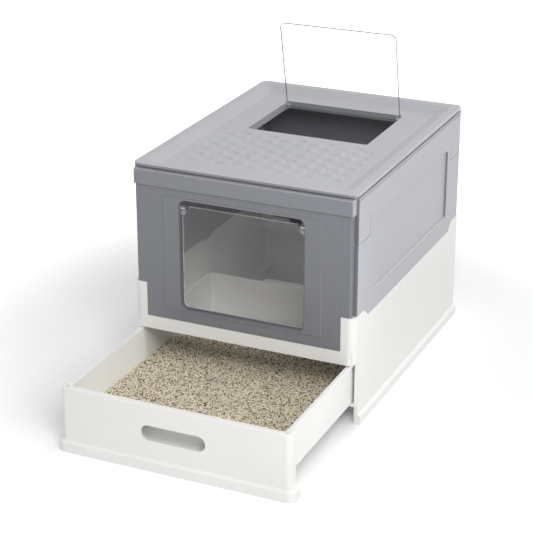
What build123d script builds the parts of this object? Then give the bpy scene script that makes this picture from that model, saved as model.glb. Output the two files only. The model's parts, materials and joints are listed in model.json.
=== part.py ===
"""Foldable enclosed litter box with a pull-out drawer, fold-in walls, a lift-off lid and two clear flaps.

Millimetres, +Z up, front towards -Y, +X to the right of someone who faces the front.
The origin is on the floor under the middle of the base. The model is drawn as the box is shown:
walls up, lid on, front flap hanging shut, top flap standing open and the drawer pulled out.
"""

import os
from math import cos, radians, sin, tan

from build123d import *

os.makedirs("parts", exist_ok=True)

# Overall sizes and the common gaps
body_width = 390.0
body_depth = 517.0
total_height = 400.0
seam = 0.6
running_gap = 0.05
rest_gap = 0.3
cut_over = 5.0

# Base moulding
base_wall = 6.2
base_corner_radius = 12.0
post_height = 195.0
post_rise = 15.0
post_length = 41.0
post_face_width = 23.0
end_leg = 4.5
slope_length = 20.0
beam_bottom = 113.0
beam_height = 22.7
beam_depth = 21.0
beam_core_depth = 11.0
beam_wall = 3.0
beam_bevel = 3.0
wall_setback = 22.0
plinth_height = 18.0
plinth_proud = 5.0
plinth_bevel = 4.0
rail_width = 16.0
rail_thickness = 5.5
rail_top = 35.7
run_chamfer = 1.0

# Hinge pins between the base and the walls
end_pin_radius = 1.5
end_axis_inset = 17.0
end_axis_drop = 3.7
end_lug_radius = 3.2
end_lug_width = 24.0
end_lug_pitch = 120.0
side_pin_radius = 1.1
side_axis_inset = 4.1
side_axis_drop = 3.0
side_lug_radius = 2.2
side_lug_width = 26.0
side_lug_pitch = 165.0
pin_embed = 10.0
lug_side_gap = 0.4
lug_swing_gap = 0.3

# Front and rear walls
end_wall_depth = 12.0
end_wall_plate = 4.0
end_wall_rib = 4.0
end_wall_head = 17.6
end_corner_radius = 3.0
corner_setback = 0.5
corner_groove_width = 1.0
corner_groove_depth = 0.6
field_border = 29.0
field_margin = 4.0
field_relief = 1.2
field_bevel = 1.0
field_corner_radius = 5.0

# Entry window and its clear flap
window_width = 220.0
window_sill = 22.3
window_head = 22.0
window_corner_radius = 12.0
window_frame = 8.0
flap_sheet = 2.0
flap_side_gap = 3.5
flap_bottom_gap = 3.0
flap_axis_below_top = 16.0
flap_above_axis = 5.0
flap_corner_radius = 10.0
flap_pin_radius = 2.0
flap_pin_in_frame = 6.0

# Pin clips at the corners of both flaps
clip_length = 9.0
clip_above_axis = 4.0
clip_below_axis = 10.0
clip_depth = 7.0
clip_end_gap = 0.5

# Side walls
side_wall_thickness = 5.6
side_face_inset = 0.4
side_wall_head_gap = 1.2
side_wall_end_gap = 0.5
side_edge_radius = 1.0
recess_depth = 3.2
recess_half_length = 180.0
recess_foot = 33.0
recess_head = 48.2
recess_draft = 20.0
recess_corner_radius = 6.0

# Corner latches in the side walls
latch_length = 50.0
latch_height = 38.0
latch_head = 34.0
latch_thickness = 3.0
latch_gap = 0.5
latch_floor = 1.2
latch_edge = 0.5

# Lid
lid_rim_height = 8.4
lid_rim_edge = 4.0
lid_rim_inset_side = 0.5
lid_rim_inset_end = 1.5
lid_rim_width = 16.0
lid_rim_corner_radius = 14.0
lid_rim_round = 1.8
lid_neck_inset = 5.0
lid_plate = 3.0
field_slope = 20.0
field_radius = 12.0
lid_core_wall = 3.0
band_height = 25.0
band_wall = 2.0
band_side_gap = 0.4
band_proud_end = 3.0
band_corner_radius = 4.0
band_bevel = 0.8
rest_rib_thickness = 3.0
rest_rib_half_length = 150.0
rest_rib_gap = 0.8
dimple_radius = 13.4
dimple_pitch = 19.0
dimple_depth = 1.7
dimple_over = 0.2
dimple_sides = 8
dimple_columns = 11
dimple_rows = 6
dimple_column_pitch = 25.5
dimple_row_pitch = 29.0
dimple_first_row = 41.0

# Top opening and its clear flap
hatch_width = 220.0
hatch_front = 2.5
hatch_rear = 178.0
hatch_corner_radius = 5.0
hatch_collar_depth = 13.0
hatch_collar_wall = 2.5
hatch_ledge = 12.0
hatch_ledge_thickness = 2.5
hatch_axis_from_rear = 9.5
hatch_axis_below_field = 4.1
hatch_flap_front_gap = 3.0
hatch_flap_behind_axis = 3.0
hatch_flap_side_gap = 2.0
hatch_flap_lean = 12.0

# Drawer
drawer_out = 247.0
tray_side_gap = 4.8
tray_wall = 2.5
tray_floor = 2.5
tray_head_gap = 3.0
tray_rear_gap = 3.0
tray_corner_radius = 8.0
tray_lip_proud = 3.2
tray_lip_height = 6.0
tray_behind_face = 9.3
front_head_gap = 2.0
front_depth = 20.0
front_wall = 3.0
front_corner_radius = 9.0
front_round = 2.0
front_plinth_height = 20.0
front_plinth_proud_side = 8.0
front_plinth_proud_face = 4.5
front_plinth_bevel = 3.5
handle_length = 110.0
handle_height = 26.0
handle_rise = 28.0
pocket_margin = 7.0
pocket_depth = 16.0
litter_depth = 15.0
litter_gap = 0.6
litter_rear_gap = 42.0
litter_slope = 13.0

# Places worked out from the sizes above
half_width = body_width / 2
half_depth = body_depth / 2
lid_field = total_height - lid_rim_height
lid_under = lid_field - lid_plate
band_bottom = lid_field - band_height
wall_inner = half_width - base_wall
run_height = post_height - post_rise
end_leg_inner = half_depth - end_leg
beam_top = beam_bottom + beam_height
beam_inner = half_depth - beam_depth
end_axis = half_depth - end_axis_inset
end_axis_z = beam_top - end_axis_drop
end_pin_length = end_lug_width + 2 * pin_embed
end_lug_places = [-end_lug_pitch, end_lug_pitch]
side_axis = half_width - side_axis_inset
side_axis_z = run_height - side_axis_drop
side_pin_length = side_lug_width + 2 * pin_embed
side_lug_places = [-side_lug_pitch, 0, side_lug_pitch]
end_wall_half = wall_inner - seam
end_wall_inner = half_depth - end_wall_depth
end_wall_bottom = beam_top + seam
end_wall_top = lid_under - end_wall_head
tongue_half = half_width - post_face_width - seam
shoulder = post_height + seam
window_bottom = beam_top + window_sill
window_top = end_wall_top - window_head
window_height = window_top - window_bottom
window_middle = (window_top + window_bottom) / 2
flap_axis = half_depth - end_wall_depth / 2
flap_axis_z = window_top - flap_axis_below_top
flap_half = window_width / 2 - flap_side_gap
field_half_width = window_width / 2 + field_border
side_face = half_width - side_face_inset
side_inner = side_face - side_wall_thickness
side_half = end_wall_inner - side_wall_end_gap
side_wall_top = lid_under - side_wall_head_gap
recess_bottom = run_height + recess_foot
recess_top = side_wall_top - recess_head
latch_middle = side_half - latch_length / 2
latch_middle_z = side_wall_top - latch_head - latch_height / 2
lid_rim_half_x = half_width - lid_rim_inset_side
lid_rim_half_y = half_depth - lid_rim_inset_end
lid_field_half_x = lid_rim_half_x - lid_rim_width
lid_field_half_y = lid_rim_half_y - lid_rim_width
band_half_x = end_wall_half + band_side_gap + band_wall
band_half_y = half_depth + band_proud_end
dimple_places = [
    (
        dimple_column_pitch * (column - (dimple_columns - 1) / 2),
        column % 2 * dimple_row_pitch / 2 - dimple_first_row - dimple_row_pitch * row,
        lid_field,
    )
    for column in range(dimple_columns)
    for row in range(dimple_rows)
]
hatch_depth = hatch_rear - hatch_front
hatch_middle = (hatch_front + hatch_rear) / 2
hatch_axis = hatch_rear - hatch_axis_from_rear
hatch_axis_z = lid_field - hatch_axis_below_field
hatch_flap_length = hatch_axis - hatch_front - hatch_flap_front_gap
hatch_flap_half = hatch_width / 2 - hatch_flap_side_gap
front_face = -half_depth - drawer_out
front_height = beam_bottom - front_head_gap
tray_front = front_face + tray_behind_face
tray_bottom = rail_top + rest_gap
tray_top = beam_bottom - tray_head_gap
drawer_length = body_depth - tray_behind_face - end_leg - tray_lip_proud - tray_rear_gap
tray_middle = tray_front + drawer_length / 2
tray_half = wall_inner - tray_side_gap
handle_centre = tray_bottom + handle_rise
pocket_half = handle_length / 2 + pocket_margin
pocket_height = handle_height + 2 * pocket_margin
litter_base = tray_bottom + tray_floor + rest_gap


def side_line(raise_by, reach):
    """Give the stepped top line of a base side wall as (y, z) points, lifted by a gap."""
    step = half_depth - post_length
    foot = step - slope_length
    return [
        (-reach, post_height + raise_by),
        (-step, post_height + raise_by),
        (-foot, run_height + raise_by),
        (foot, run_height + raise_by),
        (step, post_height + raise_by),
        (reach, post_height + raise_by),
    ]


# Base moulding: a walled ring with corner posts, front and rear beams and drawer rails
with BuildPart() as base_frame:
    with BuildSketch():
        RectangleRounded(body_width, body_depth, base_corner_radius)
    extrude(amount=post_height)
    with BuildSketch():
        RectangleRounded(
            body_width + 2 * plinth_proud,
            body_depth + 2 * plinth_proud,
            base_corner_radius + plinth_proud,
        )
    extrude(amount=plinth_height)
    plinth_shelf = base_frame.faces().filter_by(Axis.Z).sort_by(Axis.Z)[1]
    chamfer(plinth_shelf.outer_wire().edges(), plinth_bevel)
    with BuildSketch():
        RectangleRounded(2 * wall_inner, 2 * end_leg_inner, base_corner_radius - end_leg)
    extrude(amount=post_height, mode=Mode.SUBTRACT)
    # Beams across the front and the rear, bevelled where the walls swing and cored from below
    with BuildSketch(Plane.YZ):
        with BuildLine():
            Polyline(
                (-end_leg_inner - end_leg / 2, beam_bottom),
                (-end_leg_inner - end_leg / 2, beam_top),
                (-beam_inner - beam_bevel, beam_top),
                (-beam_inner, beam_top - beam_bevel),
                (-beam_inner, beam_bottom),
                (-beam_inner - beam_wall, beam_bottom),
                (-beam_inner - beam_wall, beam_bottom + beam_core_depth),
                (-end_leg_inner, beam_bottom + beam_core_depth),
                (-end_leg_inner, beam_bottom),
                close=True,
            )
        make_face()
        mirror(about=Plane.YZ)
    extrude(amount=wall_inner + base_wall / 2, both=True)
    # Drawer rails along both walls
    with BuildSketch(Plane.XY.offset(rail_top - rail_thickness)):
        with GridLocations(2 * wall_inner - rail_width + base_wall / 2, 0, 2, 1):
            Rectangle(rail_width + base_wall / 2, 2 * end_leg_inner + end_leg)
    extrude(amount=rail_thickness)
    # The mouth below the front beam, as wide as the drawer front
    with BuildSketch():
        with Locations((0, -half_depth)):
            Rectangle(2 * body_width, 2 * wall_setback)
    extrude(amount=beam_bottom, mode=Mode.SUBTRACT)
    # The stepped top line of the side walls, bevelled inside where the walls swing
    with BuildSketch(Plane.YZ):
        with BuildLine():
            Polyline(side_line(0, half_depth)[1:5], close=True)
        make_face()
    extrude(amount=body_width, both=True, mode=Mode.SUBTRACT)
    top_edges = base_frame.edges().filter_by_position(
        Axis.Z, run_height - seam, post_height - seam
    )
    along_edges = top_edges.filter_by(Axis.X, reverse=True).group_by(Axis.X)
    chamfer(along_edges[1] + along_edges[2], run_chamfer)
    # Gaps between the posts, above the front and rear beams
    with BuildSketch(Plane.XZ):
        with Locations((0, beam_top + post_height / 2)):
            Rectangle(2 * (half_width - post_face_width), post_height)
    extrude(amount=body_depth, both=True, mode=Mode.SUBTRACT)
    # Notches and pin bores of the front and rear hinges
    end_notch = end_lug_radius + lug_swing_gap
    for x in end_lug_places:
        with BuildSketch(Plane.YZ.offset(x)):
            with BuildLine():
                Polyline(
                    (end_axis + end_notch, end_axis_z - end_notch),
                    (end_axis + end_notch, beam_top + cut_over),
                    (beam_inner - cut_over, beam_top + cut_over),
                    (beam_inner - cut_over, end_axis_z - end_notch),
                    close=True,
                )
            make_face()
            mirror(about=Plane.YZ)
        extrude(amount=end_lug_width / 2 + lug_side_gap, both=True, mode=Mode.SUBTRACT)
        with BuildSketch(Plane.YZ.offset(x)):
            with Locations((end_axis, end_axis_z), (-end_axis, end_axis_z)):
                Circle(end_pin_radius + running_gap)
        extrude(amount=end_pin_length / 2 + rest_gap, both=True, mode=Mode.SUBTRACT)
    # Notches and pin bores of the side hinges, behind an unbroken outer skin
    side_notch = side_lug_radius + lug_swing_gap
    for y in side_lug_places:
        with BuildSketch(Plane.XZ.offset(y)):
            with BuildLine():
                Polyline(
                    (side_axis + side_notch, side_axis_z - side_notch),
                    (side_axis + side_notch, run_height + cut_over),
                    (wall_inner - cut_over, run_height + cut_over),
                    (wall_inner - cut_over, side_axis_z - side_notch),
                    close=True,
                )
            make_face()
            mirror(about=Plane.YZ)
        extrude(amount=side_lug_width / 2 + lug_side_gap, both=True, mode=Mode.SUBTRACT)
        with BuildSketch(Plane.XZ.offset(y)):
            with Locations((side_axis, side_axis_z), (-side_axis, side_axis_z)):
                Circle(side_pin_radius + running_gap)
        extrude(amount=side_pin_length / 2 + rest_gap, both=True, mode=Mode.SUBTRACT)
base_frame.part.label = "base_frame"
export_step(base_frame.part, "parts/base_frame.step")

# Steel hinge pins: two to an end wall, three to a side wall
with BuildPart() as front_hinge_pins:
    with Locations([(x, -end_axis, end_axis_z) for x in end_lug_places]):
        Cylinder(end_pin_radius, end_pin_length, rotation=(0, 90, 0))
front_hinge_pins.part.label = "front_hinge_pins"
export_step(front_hinge_pins.part, "parts/front_hinge_pins.step")

with BuildPart() as rear_hinge_pins:
    mirror(front_hinge_pins.part, about=Plane.XZ)
rear_hinge_pins.part.label = "rear_hinge_pins"
export_step(rear_hinge_pins.part, "parts/rear_hinge_pins.step")

with BuildPart() as right_hinge_pins:
    with Locations([(side_axis, y, side_axis_z) for y in side_lug_places]):
        Cylinder(side_pin_radius, side_pin_length, rotation=(90, 0, 0))
right_hinge_pins.part.label = "right_hinge_pins"
export_step(right_hinge_pins.part, "parts/right_hinge_pins.step")

with BuildPart() as left_hinge_pins:
    mirror(right_hinge_pins.part, about=Plane.YZ)
left_hinge_pins.part.label = "left_hinge_pins"
export_step(left_hinge_pins.part, "parts/left_hinge_pins.step")

# What the front and rear walls share: a ribbed pan with set-back corners and hinge lugs
with BuildPart() as end_wall:
    with BuildSketch(Plane.XY.offset(end_wall_bottom)):
        with Locations((0, -half_depth)):
            Rectangle(2 * end_wall_half, end_wall_depth, align=(Align.CENTER, Align.MIN))
    extrude(amount=end_wall_top - end_wall_bottom)
    with BuildSketch(Plane.XZ.offset(half_depth)):
        with GridLocations(2 * (tongue_half + post_face_width), 0, 2, 1):
            Rectangle(2 * post_face_width, 2 * total_height)
    extrude(amount=-corner_setback, mode=Mode.SUBTRACT)
    upright_edges = end_wall.edges().filter_by(Axis.Z).group_by(Axis.X)
    for corner_edges in (upright_edges[0], upright_edges[-1]):
        fillet(corner_edges.sort_by(Axis.Y)[0], end_corner_radius)
    # Grooves round the corners carry on the outline of the side walls' latches
    for z in (latch_middle_z - latch_height / 2, latch_middle_z + latch_height / 2):
        with Locations((end_wall_half, -half_depth, z), (-end_wall_half, -half_depth, z)):
            Box(2 * corner_groove_depth, 4 * end_wall_depth, corner_groove_width, mode=Mode.SUBTRACT)
    # Pockets behind the face leave the outer plate and the ribs
    for low, high, half in (
        (end_wall_bottom + end_wall_rib, shoulder + end_wall_rib, tongue_half - end_wall_rib),
        (shoulder + end_wall_rib, end_wall_top - end_wall_rib, end_wall_half - end_wall_rib),
    ):
        with BuildSketch(Plane.XY.offset(low)):
            with Locations((0, -half_depth + end_wall_plate)):
                Rectangle(2 * half, end_wall_depth, align=(Align.CENTER, Align.MIN))
        extrude(amount=high - low, mode=Mode.SUBTRACT)
    # The lower part narrows to a tongue between the base's posts
    with BuildSketch(Plane.XZ):
        with GridLocations(2 * (tongue_half + post_face_width), 0, 2, 1):
            Rectangle(2 * post_face_width, 2 * shoulder)
    extrude(amount=body_depth, both=True, mode=Mode.SUBTRACT)
    # Hinge lugs reach down into the beam's notches
    for x in end_lug_places:
        with BuildSketch(Plane.YZ.offset(x)):
            with BuildLine():
                Polyline(
                    (-end_axis - end_lug_radius, end_axis_z),
                    (-end_axis + end_lug_radius, end_axis_z),
                    (-end_axis + end_lug_radius, end_wall_bottom + end_wall_rib),
                    (-end_wall_inner - end_wall_rib, end_wall_bottom + end_wall_rib),
                    (-end_wall_inner - end_wall_rib, end_wall_bottom),
                    (-end_axis - end_lug_radius, end_wall_bottom),
                    close=True,
                )
            make_face()
            with Locations((-end_axis, end_axis_z)):
                Circle(end_lug_radius)
                Circle(end_pin_radius + running_gap, mode=Mode.SUBTRACT)
        extrude(amount=end_lug_width / 2, both=True)

# Front wall: the shared pan with a framed entry window
with BuildPart() as front_panel:
    add(end_wall.part)
    with BuildSketch(Plane.XZ.offset(half_depth - end_wall_plate)):
        with Locations((0, window_middle)):
            RectangleRounded(
                window_width + 2 * window_frame,
                window_height + 2 * window_frame,
                window_corner_radius + window_frame,
            )
    extrude(amount=end_wall_plate - end_wall_depth)
    # A shallow raised field around the window
    with BuildSketch(Plane.XZ.offset(half_depth)):
        with Locations((0, window_middle)):
            RectangleRounded(
                2 * field_half_width, window_height + 2 * field_margin, field_corner_radius
            )
    extrude(amount=field_relief)
    field_face = front_panel.faces().sort_by(Axis.Y)[0]
    chamfer(field_face.outer_wire().edges(), field_bevel)
    with BuildSketch(Plane.XZ):
        with Locations((0, window_middle)):
            RectangleRounded(window_width, window_height, window_corner_radius)
    extrude(amount=body_depth, mode=Mode.SUBTRACT)
    # Blind bores in the frame for the flap's pins
    flap_bore_half = window_width / 2 + flap_pin_in_frame + rest_gap
    with Locations((0, -flap_axis, flap_axis_z)):
        Cylinder(
            flap_pin_radius + running_gap,
            2 * flap_bore_half,
            rotation=(0, 90, 0),
            mode=Mode.SUBTRACT,
        )
front_panel.part.label = "front_panel"
export_step(front_panel.part, "parts/front_panel.step")

# Rear wall: the same pan, plain
with BuildPart() as rear_panel:
    mirror(end_wall.part, about=Plane.XZ)
rear_panel.part.label = "rear_panel"
export_step(rear_panel.part, "parts/rear_panel.step")


def flap_sheet_face(half, length, above, corner_radius):
    """Draw a clear flap's outline, hung from its axis at the origin and notched round its pins."""
    with BuildSketch() as outline:
        with Locations((0, -length)):
            Rectangle(2 * half, length + above, align=(Align.CENTER, Align.MIN))
        fillet(outline.vertices().group_by(Axis.Y)[0], corner_radius)
        notch = clip_length + flap_pin_radius
        with Locations((half, above), (-half, above)):
            Rectangle(2 * notch, 2 * (above + clip_above_axis), mode=Mode.SUBTRACT)
    return outline.sketch


def flap_clips(plane, half_span, half):
    """Build the two pin clips of a flap: blocks that grip the sheet's corners and hold its pins."""
    with BuildPart() as clips:
        with BuildSketch(plane):
            with GridLocations(2 * half_span - clip_length, 0, 2, 1):
                with Locations((0, -clip_below_axis)):
                    Rectangle(
                        clip_length,
                        clip_below_axis + clip_above_axis,
                        align=(Align.CENTER, Align.MIN),
                    )
        extrude(amount=clip_depth / 2, both=True)
        with BuildSketch(plane):
            with Locations((0, -clip_below_axis)):
                Rectangle(
                    2 * (half + running_gap),
                    2 * (clip_below_axis - clip_above_axis + running_gap),
                )
        extrude(amount=flap_sheet / 2 + running_gap, both=True, mode=Mode.SUBTRACT)
        with BuildSketch(Plane(plane.origin, x_dir=plane.y_dir, z_dir=plane.x_dir)):
            Circle(flap_pin_radius + running_gap)
        extrude(amount=body_width, both=True, mode=Mode.SUBTRACT)
    return clips.part


def flap_pins(plane, half_span, embed):
    """Build the two pins on a flap's axis, from inside its clips to the wall that carries them."""
    length = embed + clip_end_gap + clip_length
    with BuildPart() as pins:
        for side in (-1, 1):
            middle = half_span + clip_end_gap + embed - length / 2
            start = plane.origin + plane.x_dir * (side * middle)
            with BuildSketch(Plane(start, x_dir=plane.y_dir, z_dir=plane.x_dir)):
                Circle(flap_pin_radius)
            extrude(amount=length / 2, both=True)
    return pins.part


# Front flap: a clear sheet that hangs in the window on two pins
flap_plane = Plane((0, -flap_axis, flap_axis_z), x_dir=(1, 0, 0), z_dir=(0, -1, 0))
flap_clip_half = window_width / 2 - clip_end_gap
with BuildPart() as front_flap:
    with BuildSketch(flap_plane):
        add(
            flap_sheet_face(
                flap_half,
                flap_axis_z - window_bottom - flap_bottom_gap,
                flap_above_axis,
                flap_corner_radius,
            )
        )
    extrude(amount=flap_sheet / 2, both=True)
front_flap.part.label = "front_flap"
export_step(front_flap.part, "parts/front_flap.step")

with BuildPart() as front_flap_clips:
    add(flap_clips(flap_plane, flap_clip_half, flap_half))
front_flap_clips.part.label = "front_flap_clips"
export_step(front_flap_clips.part, "parts/front_flap_clips.step")

with BuildPart() as front_flap_pins:
    add(flap_pins(flap_plane, flap_clip_half, flap_pin_in_frame))
front_flap_pins.part.label = "front_flap_pins"
export_step(front_flap_pins.part, "parts/front_flap_pins.step")

# Right side wall: a plate with a recessed field, open-ended latch pockets and hinge lugs
with BuildPart() as right_panel:
    with BuildSketch(Plane.YZ.offset(side_inner)):
        with BuildLine():
            Polyline(
                *side_line(seam, side_half),
                (side_half, side_wall_top),
                (-side_half, side_wall_top),
                close=True,
            )
        make_face()
    extrude(amount=side_wall_thickness)
    face_edges = right_panel.edges().filter_by(Axis.Z).group_by(Axis.X)[-1]
    fillet(face_edges, side_edge_radius)
    with BuildSketch(Plane.YZ.offset(side_face)):
        with Locations((0, (recess_bottom + recess_top) / 2)):
            RectangleRounded(
                2 * recess_half_length, recess_top - recess_bottom, recess_corner_radius
            )
    extrude(amount=-recess_depth, taper=recess_draft, mode=Mode.SUBTRACT)
    with BuildSketch(Plane.YZ.offset(side_face)):
        with GridLocations(2 * side_half, 0, 2, 1):
            with Locations((0, latch_middle_z)):
                Rectangle(2 * latch_length, latch_height)
    extrude(amount=latch_floor - side_wall_thickness, mode=Mode.SUBTRACT)
    for y in side_lug_places:
        with BuildSketch(Plane.XZ.offset(y)):
            with Locations((side_axis, side_axis_z)):
                Rectangle(
                    2 * side_lug_radius,
                    side_axis_drop + seam + side_lug_radius,
                    align=(Align.CENTER, Align.MIN),
                )
                Circle(side_lug_radius)
                Circle(side_pin_radius + running_gap, mode=Mode.SUBTRACT)
        extrude(amount=side_lug_width / 2, both=True)
right_panel.part.label = "right_panel"
export_step(right_panel.part, "parts/right_panel.step")

with BuildPart() as left_panel:
    mirror(right_panel.part, about=Plane.YZ)
left_panel.part.label = "left_panel"
export_step(left_panel.part, "parts/left_panel.step")

# Corner latches: flush push plates that reach the ends of the side walls
for side, side_name in ((1, "right"), (-1, "left")):
    for end, end_name in ((-1, "front"), (1, "rear")):
        latch_name = f"{side_name}_{end_name}_latch"
        with BuildPart() as latch:
            with BuildSketch(Plane.YZ.offset(side * side_face)):
                with Locations((end * (latch_middle + latch_gap / 2), latch_middle_z)):
                    Rectangle(latch_length - latch_gap, latch_height - 2 * latch_gap)
            extrude(amount=-side * latch_thickness)
            outer_face = latch.faces().sort_by(Axis.X)[-1 if side > 0 else 0]
            chamfer(outer_face.outer_wire().edges(), latch_edge)
        latch.part.label = latch_name
        export_step(latch.part, f"parts/{latch_name}.step")

# Shallow dimple of the lid's field, as the shape that is taken out
with BuildPart() as dimple:
    with BuildSketch(Plane.XY.offset(dimple_over)):
        RegularPolygon(dimple_radius + dimple_over / tan(radians(dimple_pitch)), dimple_sides)
    extrude(amount=-dimple_over - dimple_depth, taper=90 - dimple_pitch)

# Lid: a rimmed tray top with deep bands over the end walls and the top opening in its rear half
with BuildPart() as lid:
    with BuildSketch(Plane.XY.offset(band_bottom)):
        RectangleRounded(2 * band_half_x, 2 * band_half_y, band_corner_radius)
    extrude(amount=band_height)
    chamfer(lid.faces().sort_by(Axis.Z)[-1].outer_wire().edges(), band_bevel)
    with BuildSketch(Plane.XY.offset(band_bottom)):
        RectangleRounded(
            2 * (band_half_x - band_wall),
            2 * (band_half_y - band_wall),
            band_corner_radius - band_wall,
        )
        Rectangle(body_width, 2 * end_wall_inner)
    extrude(amount=band_height - lid_plate, mode=Mode.SUBTRACT)
    # Shelf over the side walls, then the neck and the rim above it
    with BuildSketch(Plane.XY.offset(lid_under)):
        Rectangle(2 * side_face, 2 * side_half)
    extrude(amount=lid_plate)
    with BuildSketch(Plane.XY.offset(lid_under)):
        RectangleRounded(
            2 * (lid_rim_half_x - lid_neck_inset),
            2 * (lid_rim_half_y - lid_neck_inset),
            lid_rim_corner_radius - lid_neck_inset,
        )
    extrude(amount=total_height - lid_rim_edge - lid_under)
    with BuildSketch(Plane.XY.offset(total_height - lid_rim_edge)):
        RectangleRounded(2 * lid_rim_half_x, 2 * lid_rim_half_y, lid_rim_corner_radius)
    extrude(amount=lid_rim_edge)
    fillet(lid.faces().sort_by(Axis.Z)[-1].outer_wire().edges(), lid_rim_round)
    # Field sunk inside the rim with a sloped edge, and the underside cored
    with BuildSketch(Plane.XY.offset(lid_field)):
        RectangleRounded(
            2 * (lid_field_half_x - field_slope), 2 * (lid_field_half_y - field_slope), field_radius
        )
    with BuildSketch(Plane.XY.offset(total_height)):
        RectangleRounded(2 * lid_field_half_x, 2 * lid_field_half_y, field_radius)
    loft(ruled=True, mode=Mode.SUBTRACT)
    for inner_step, core_height in (
        (lid_core_wall, lid_plate + lid_rim_height - lid_core_wall),
        (-field_slope / 2, lid_rim_height / 2),
    ):
        with BuildSketch(Plane.XY.offset(lid_under)):
            RectangleRounded(
                2 * (lid_rim_half_x - lid_neck_inset - lid_core_wall),
                2 * (lid_rim_half_y - lid_neck_inset - lid_core_wall),
                lid_rim_corner_radius - lid_neck_inset - lid_core_wall,
            )
            RectangleRounded(
                2 * (lid_field_half_x + inner_step),
                2 * (lid_field_half_y + inner_step),
                field_radius,
                mode=Mode.SUBTRACT,
            )
        extrude(amount=core_height, mode=Mode.SUBTRACT)
    # Top opening with its collar, front ledge and pin bores
    with BuildSketch(Plane.XY.offset(lid_field - hatch_collar_depth)):
        with Locations((0, hatch_middle)):
            RectangleRounded(
                hatch_width + 2 * hatch_collar_wall,
                hatch_depth + 2 * hatch_collar_wall,
                hatch_corner_radius + hatch_collar_wall,
            )
    extrude(amount=hatch_collar_depth - lid_plate / 2)
    with BuildSketch(Plane.XY.offset(lid_field - hatch_collar_depth)):
        with Locations((0, hatch_middle)):
            RectangleRounded(hatch_width, hatch_depth, hatch_corner_radius)
    extrude(amount=2 * hatch_collar_depth, mode=Mode.SUBTRACT)
    ledge_top = hatch_axis_z - flap_sheet / 2 - rest_gap
    with BuildSketch(Plane.XY.offset(ledge_top - hatch_ledge_thickness)):
        with Locations((0, hatch_front - hatch_collar_wall)):
            Rectangle(
                hatch_width - 2 * hatch_corner_radius,
                hatch_ledge + hatch_collar_wall,
                align=(Align.CENTER, Align.MIN),
            )
    extrude(amount=hatch_ledge_thickness)
    with Locations((0, hatch_axis, hatch_axis_z)):
        Cylinder(
            flap_pin_radius + running_gap,
            hatch_width + 2 * hatch_collar_wall,
            rotation=(0, 90, 0),
            mode=Mode.SUBTRACT,
        )
    # Ribs under the rim's neck that rest on the front and rear walls
    rest_rib_place = lid_rim_half_y - lid_neck_inset - rest_rib_thickness / 2
    with BuildSketch(Plane.XY.offset(end_wall_top + rest_rib_gap)):
        with GridLocations(0, 2 * rest_rib_place, 1, 2):
            Rectangle(2 * rest_rib_half_length, rest_rib_thickness)
    extrude(amount=lid_under - end_wall_top)
    # Staggered dimples in front of the opening
    with Locations(dimple_places):
        add(dimple.part, mode=Mode.SUBTRACT)
lid.part.label = "lid"
export_step(lid.part, "parts/lid.step")

# Top flap: a clear sheet that stands open on pins at the rear of the top opening
lean = radians(hatch_flap_lean)
hatch_plane = Plane(
    (0, hatch_axis, hatch_axis_z), x_dir=(-1, 0, 0), z_dir=(0, -cos(lean), -sin(lean))
)
hatch_clip_half = hatch_width / 2 - clip_end_gap
with BuildPart() as top_flap:
    with BuildSketch(hatch_plane):
        add(
            flap_sheet_face(
                hatch_flap_half, hatch_flap_length, hatch_flap_behind_axis, flap_corner_radius
            )
        )
    extrude(amount=flap_sheet / 2, both=True)
top_flap.part.label = "top_flap"
export_step(top_flap.part, "parts/top_flap.step")

with BuildPart() as top_flap_clips:
    add(flap_clips(hatch_plane, hatch_clip_half, hatch_flap_half))
top_flap_clips.part.label = "top_flap_clips"
export_step(top_flap_clips.part, "parts/top_flap_clips.step")

with BuildPart() as top_flap_pins:
    add(flap_pins(hatch_plane, hatch_clip_half, hatch_collar_wall))
top_flap_pins.part.label = "top_flap_pins"
export_step(top_flap_pins.part, "parts/top_flap_pins.step")

# Drawer tray: an open basin with a turned lip and a finger pocket behind the handle slot
with BuildPart() as drawer_tray:
    with BuildSketch(Plane.XY.offset(tray_bottom)):
        with Locations((0, tray_middle)):
            RectangleRounded(2 * tray_half, drawer_length, tray_corner_radius)
    extrude(amount=tray_top - tray_bottom)
    with BuildSketch(Plane.XY.offset(tray_top - tray_lip_height)):
        with Locations((0, tray_middle)):
            RectangleRounded(
                2 * (tray_half + tray_lip_proud),
                drawer_length + 2 * tray_lip_proud,
                tray_corner_radius + tray_lip_proud,
            )
    extrude(amount=tray_lip_height)
    with BuildSketch(Plane.XY.offset(tray_bottom + tray_floor)):
        with Locations((0, tray_middle)):
            RectangleRounded(
                2 * (tray_half - tray_wall),
                drawer_length - 2 * tray_wall,
                tray_corner_radius - tray_wall,
            )
    extrude(amount=tray_top, mode=Mode.SUBTRACT)
    with BuildSketch(Plane.XZ.offset(-tray_front)):
        with Locations((0, handle_centre)):
            Rectangle(2 * (pocket_half + tray_wall), pocket_height + 2 * tray_wall)
    extrude(amount=-pocket_depth - tray_wall)
    with BuildSketch(Plane.XZ.offset(-tray_front)):
        with Locations((0, handle_centre)):
            Rectangle(2 * pocket_half, pocket_height)
    extrude(amount=-pocket_depth, mode=Mode.SUBTRACT)
drawer_tray.part.label = "drawer_tray"
export_step(drawer_tray.part, "parts/drawer_tray.step")

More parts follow.
